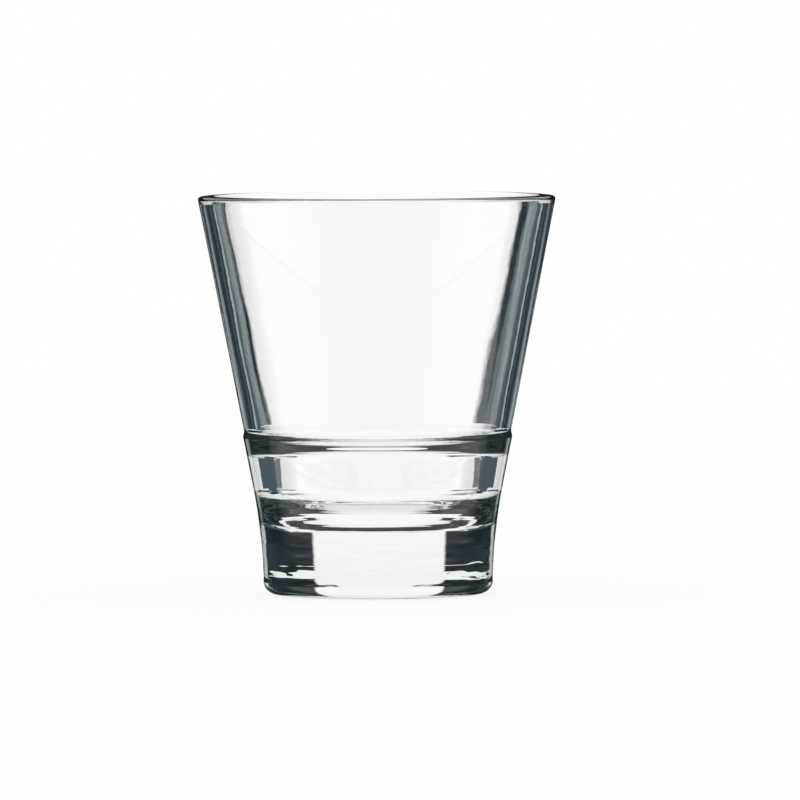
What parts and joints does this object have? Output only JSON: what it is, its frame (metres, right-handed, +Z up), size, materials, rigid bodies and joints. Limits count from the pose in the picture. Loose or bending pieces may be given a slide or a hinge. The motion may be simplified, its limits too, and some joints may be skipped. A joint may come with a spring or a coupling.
{
  "type": "rocks glass",
  "caption": "Clear conical pressed-glass tumbler with a soft outer step, an inner stacking ledge, a narrower well and a thick solid base, for drinks.",
  "frame": {"origin": "centre of the base on the plane the glass stands on", "axes": "+Z up along the axis of the glass, towards the mouth; +X and +Y are free because the shape is turned"},
  "size_m": [0.0856, 0.0856, 0.0954],
  "materials": {
    "clear_glass": "clear soda-lime glass, fire-polished, faintly green-blue through the thick base"
  },
  "bodies": {
    "root": {"tumbler": "clear_glass"}
  },
  "joints": []
}
